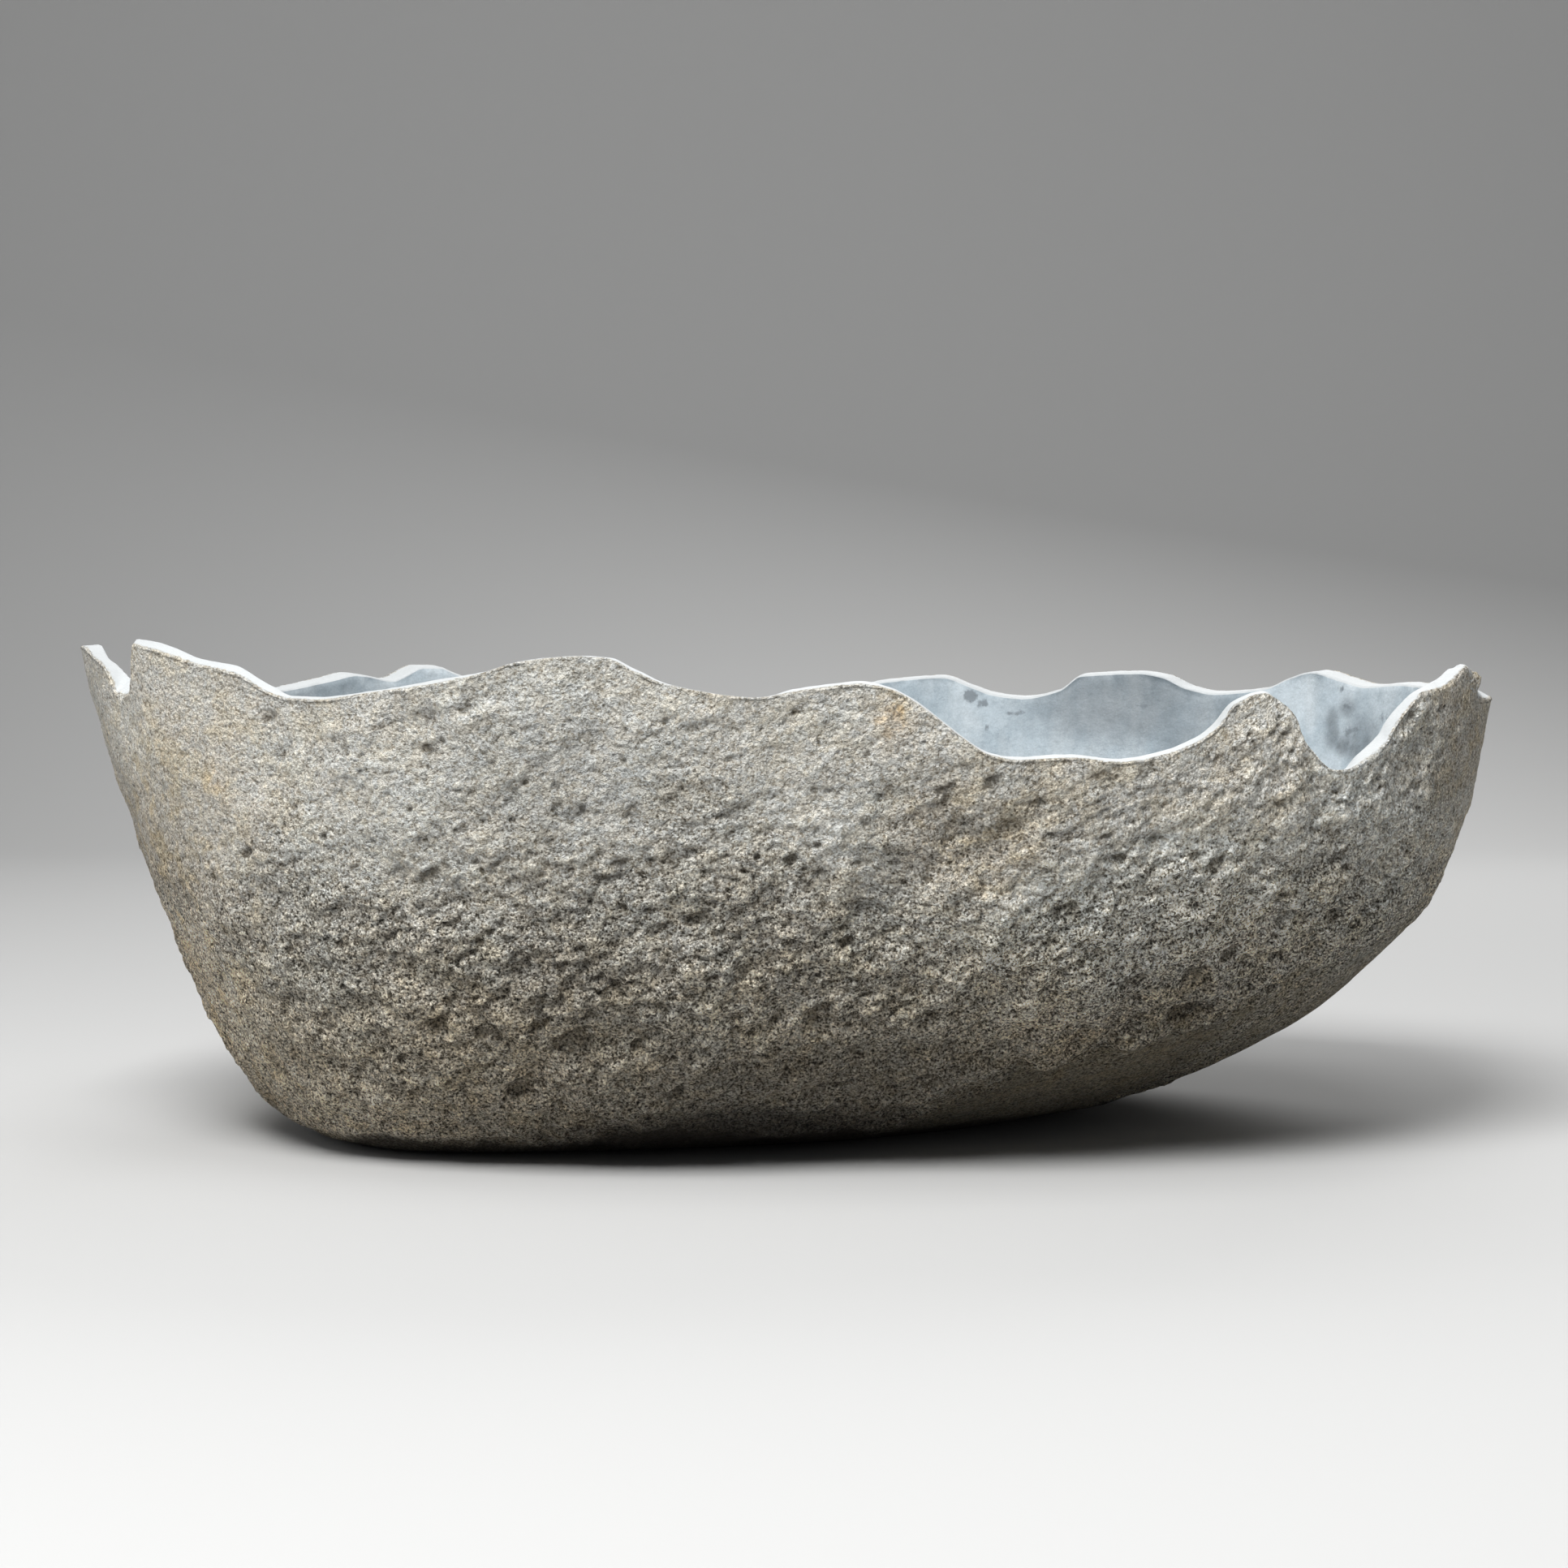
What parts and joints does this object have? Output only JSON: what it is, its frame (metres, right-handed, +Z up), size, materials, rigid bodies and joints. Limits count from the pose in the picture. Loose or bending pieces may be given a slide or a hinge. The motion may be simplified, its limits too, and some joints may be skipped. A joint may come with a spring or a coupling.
{
  "type": "stone bowl planter",
  "caption": "River stone bowl planter: an oval boulder sawn flat underneath, ground smooth and pale inside, with a thin wave-cut rim and a drain hole through the floor.",
  "frame": {"origin": "middle of the overall length and depth, on the plane of the sawn foot", "axes": "+X along the length towards the long low end, +Y from the front seen in the picture to the back, +Z up"},
  "size_m": [0.5362, 0.3848, 0.188],
  "materials": {
    "stone": "weathered grey-brown river stone outside, ground pale blue-grey inside, near-white where the rim is cut"
  },
  "bodies": {
    "root": {"bowl": "stone"}
  },
  "joints": []
}
